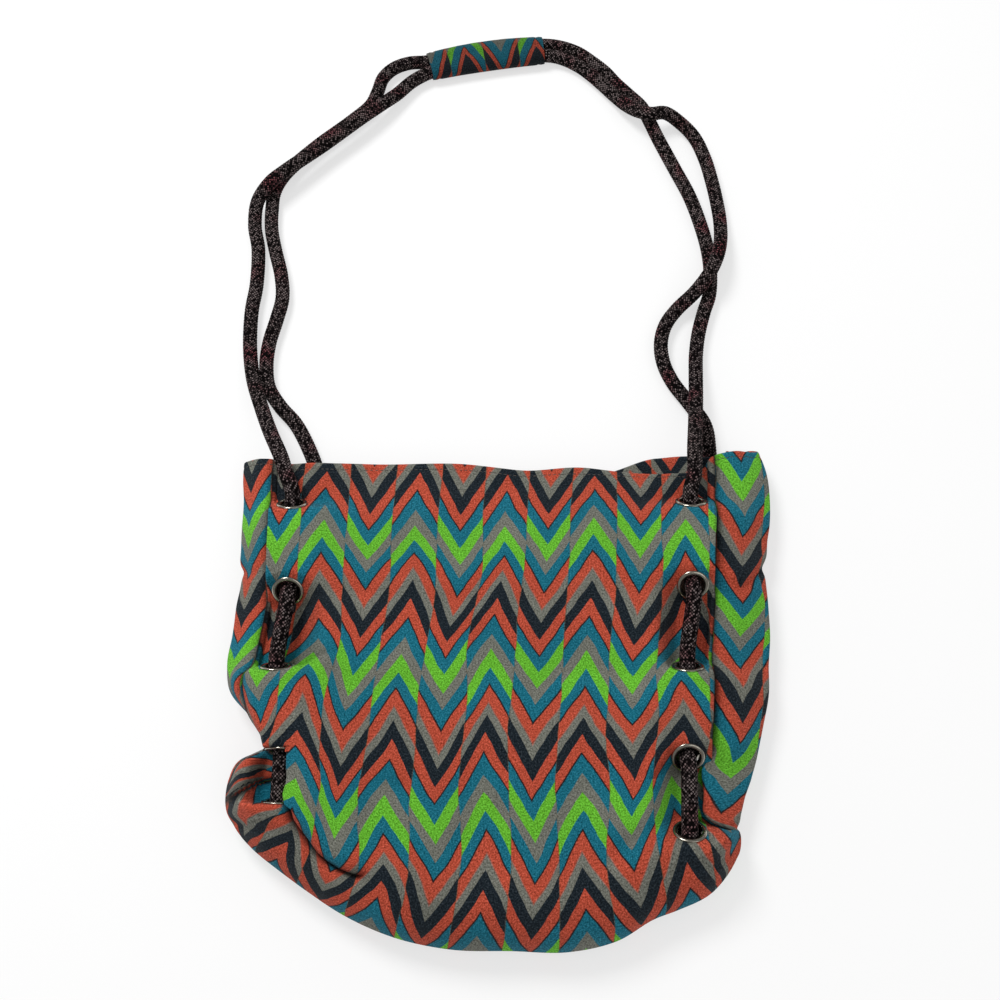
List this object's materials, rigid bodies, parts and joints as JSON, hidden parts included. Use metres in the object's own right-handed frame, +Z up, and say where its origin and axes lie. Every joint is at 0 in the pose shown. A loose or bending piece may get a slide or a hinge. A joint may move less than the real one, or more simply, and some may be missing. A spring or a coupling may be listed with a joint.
{
  "type": "crossbody bag",
  "caption": "Open canvas shoulder bag with side gussets and a dark rope laced through metal eyelets, whose two strands form the strap under a cloth sleeve.",
  "frame": {"origin": "centre of the bag's footprint, without the strap, on the surface that it lies on", "axes": "+Z up out of the front panel, +Y from the bag's bottom to its mouth and strap, +X to the right as seen from the front"},
  "size_m": [0.3776, 0.7004, 0.0487],
  "materials": {
    "printed_canvas": "matte printed cotton canvas",
    "eyelet_metal": "polished nickel",
    "braided_rope": "dark flecked braid"
  },
  "bodies": {
    "root": {"front_panel": "printed_canvas", "back_panel": "printed_canvas", "left_gusset": "printed_canvas", "right_gusset": "printed_canvas", "eyelet_front_left_1": "eyelet_metal", "eyelet_front_left_2": "eyelet_metal", "eyelet_front_left_3": "eyelet_metal", "eyelet_front_left_4": "eyelet_metal", "eyelet_front_left_5": "eyelet_metal", "eyelet_front_right_1": "eyelet_metal", "eyelet_front_right_2": "eyelet_metal", "eyelet_front_right_3": "eyelet_metal", "eyelet_front_right_4": "eyelet_metal", "eyelet_front_right_5": "eyelet_metal", "eyelet_back_left_1": "eyelet_metal", "eyelet_back_left_2": "eyelet_metal", "eyelet_back_left_3": "eyelet_metal", "eyelet_back_left_4": "eyelet_metal", "eyelet_back_left_5": "eyelet_metal", "eyelet_back_right_1": "eyelet_metal", "eyelet_back_right_2": "eyelet_metal", "eyelet_back_right_3": "eyelet_metal", "eyelet_back_right_4": "eyelet_metal", "eyelet_back_right_5": "eyelet_metal", "washer_front_left_1": "eyelet_metal", "washer_front_left_2": "eyelet_metal", "washer_front_left_3": "eyelet_metal", "washer_front_left_4": "eyelet_metal", "washer_front_left_5": "eyelet_metal", "washer_front_right_1": "eyelet_metal", "washer_front_right_2": "eyelet_metal", "washer_front_right_3": "eyelet_metal", "washer_front_right_4": "eyelet_metal", "washer_front_right_5": "eyelet_metal", "washer_back_left_1": "eyelet_metal", "washer_back_left_2": "eyelet_metal", "washer_back_left_3": "eyelet_metal", "washer_back_left_4": "eyelet_metal", "washer_back_left_5": "eyelet_metal", "washer_back_right_1": "eyelet_metal", "washer_back_right_2": "eyelet_metal", "washer_back_right_3": "eyelet_metal", "washer_back_right_4": "eyelet_metal", "washer_back_right_5": "eyelet_metal", "lace_left": "braided_rope", "lace_right": "braided_rope", "strap_rope_first": "braided_rope", "strap_rope_second": "braided_rope", "strap_sleeve": "printed_canvas"}
  },
  "joints": []
}
